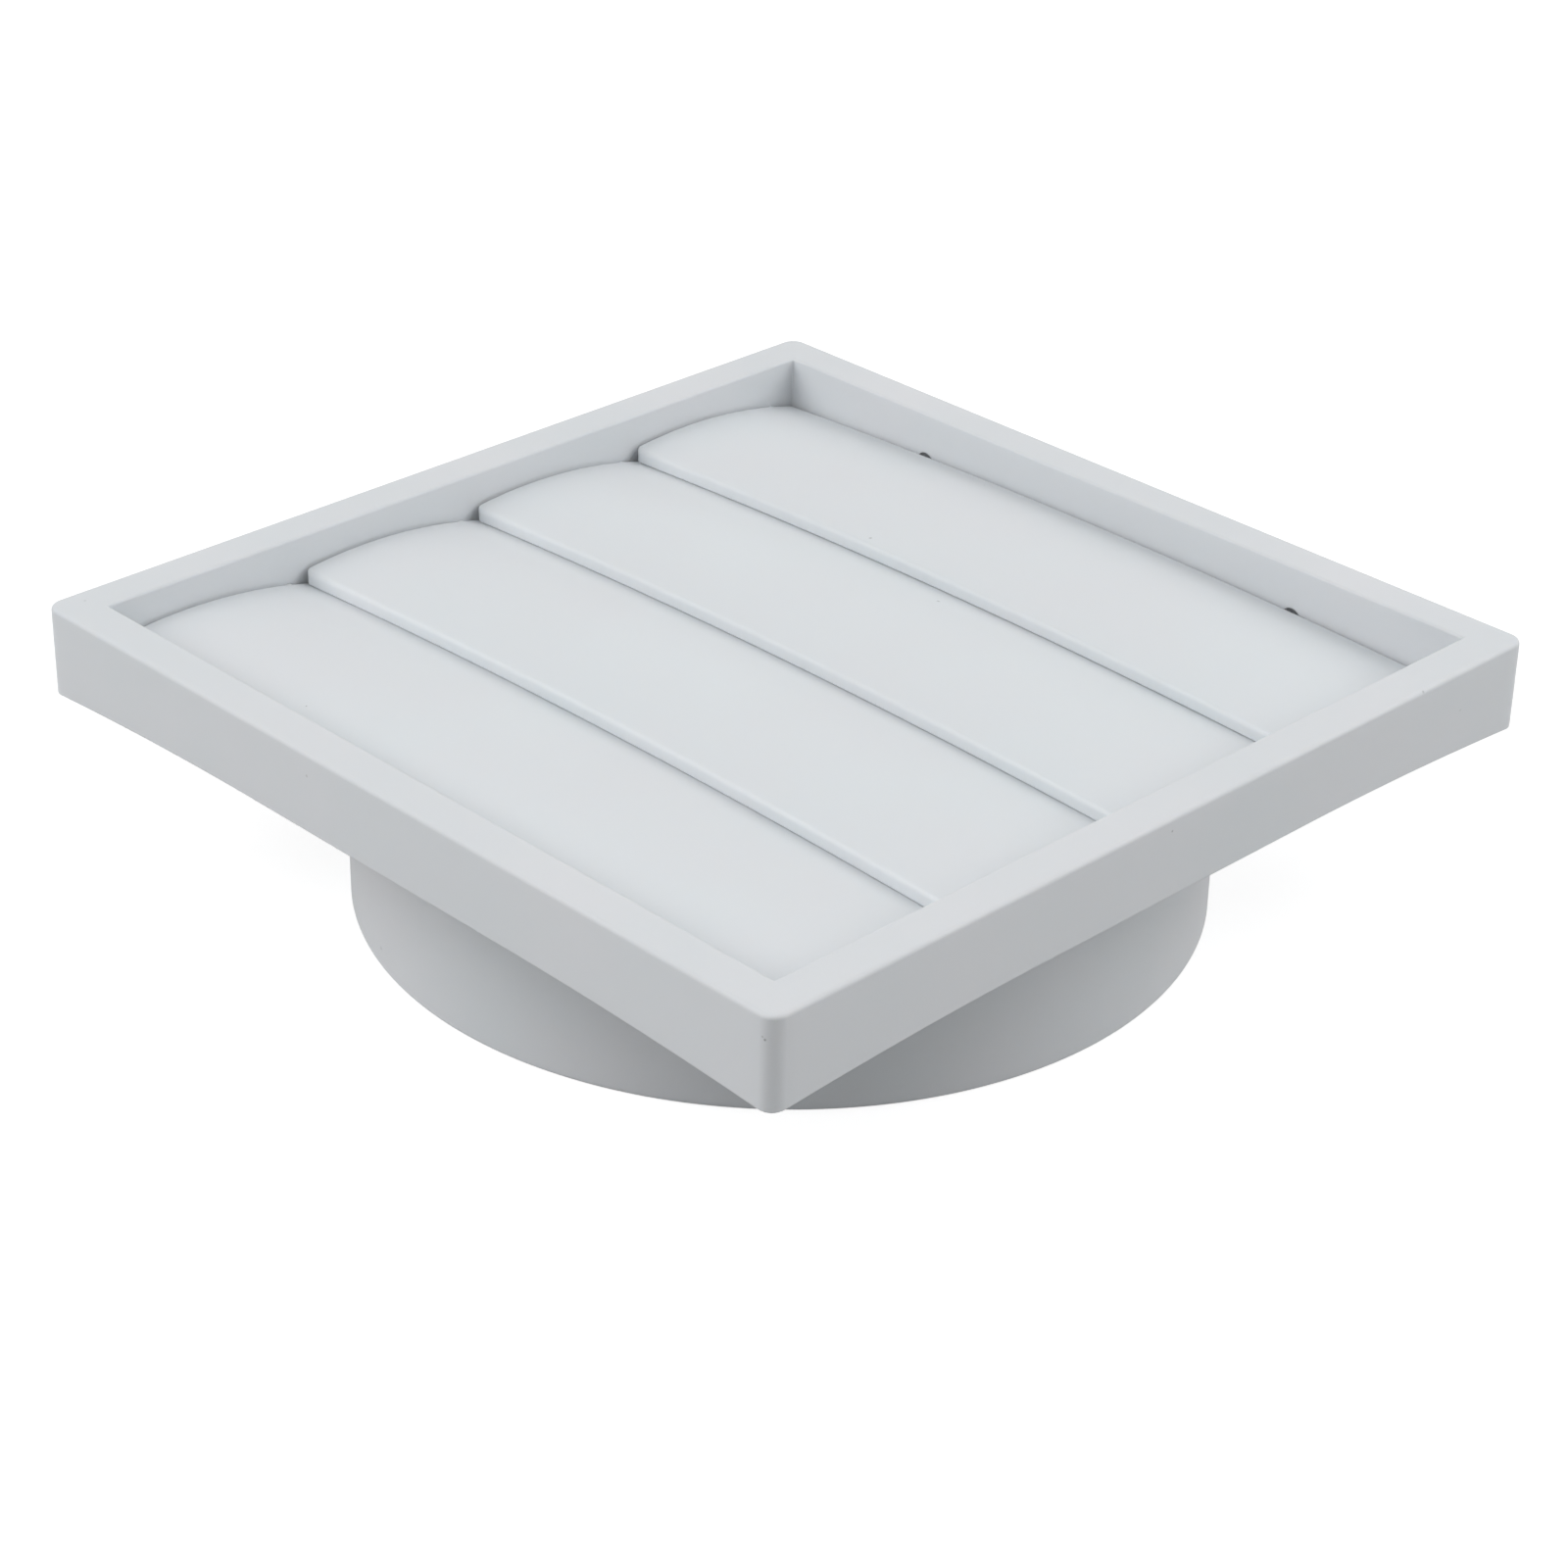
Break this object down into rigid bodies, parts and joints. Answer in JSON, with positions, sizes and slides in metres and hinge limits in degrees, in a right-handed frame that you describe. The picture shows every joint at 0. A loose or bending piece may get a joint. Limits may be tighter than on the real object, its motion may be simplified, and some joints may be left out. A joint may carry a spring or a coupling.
{
  "type": "exhaust vent cover",
  "caption": "Square wall cover for an exhaust duct: curved, slightly crowned gravity flaps hang in a raised rim in front of a round spigot.",
  "frame": {"origin": "centre of the spigot's open end, which the cover stands on", "axes": "+Z out of the front face, +X along the flaps, +Y towards the side that is uppermost on a wall, where the flaps are hinged"},
  "size_m": [0.178, 0.178, 0.0495],
  "materials": {
    "frame_plastic": "fine matt moulded, pale cool grey white",
    "flap_plastic": "smooth matt moulded, pale cool white"
  },
  "bodies": {
    "frame": {"frame": "frame_plastic"},
    "flap_1": {"flap_1": "flap_plastic"},
    "flap_2": {"flap_2": "flap_plastic"},
    "flap_3": {"flap_3": "flap_plastic"},
    "flap_4": {"flap_4": "flap_plastic"}
  },
  "joints": [
    {"name": "flap_1_hinge", "type": "hinge", "parent": "frame", "child": "flap_1", "pos_m": [0, -0.0434, 0.04018], "axis": [-1, 0, 0], "range_deg": [0, 75]},
    {"name": "flap_2_hinge", "type": "hinge", "parent": "frame", "child": "flap_2", "pos_m": [0, -0.0039, 0.04018], "axis": [-1, 0, 0], "range_deg": [0, 75]},
    {"name": "flap_3_hinge", "type": "hinge", "parent": "frame", "child": "flap_3", "pos_m": [0, 0.0356, 0.04018], "axis": [-1, 0, 0], "range_deg": [0, 75]},
    {"name": "flap_4_hinge", "type": "hinge", "parent": "frame", "child": "flap_4", "pos_m": [0, 0.0751, 0.04018], "axis": [-1, 0, 0], "range_deg": [0, 75]}
  ]
}
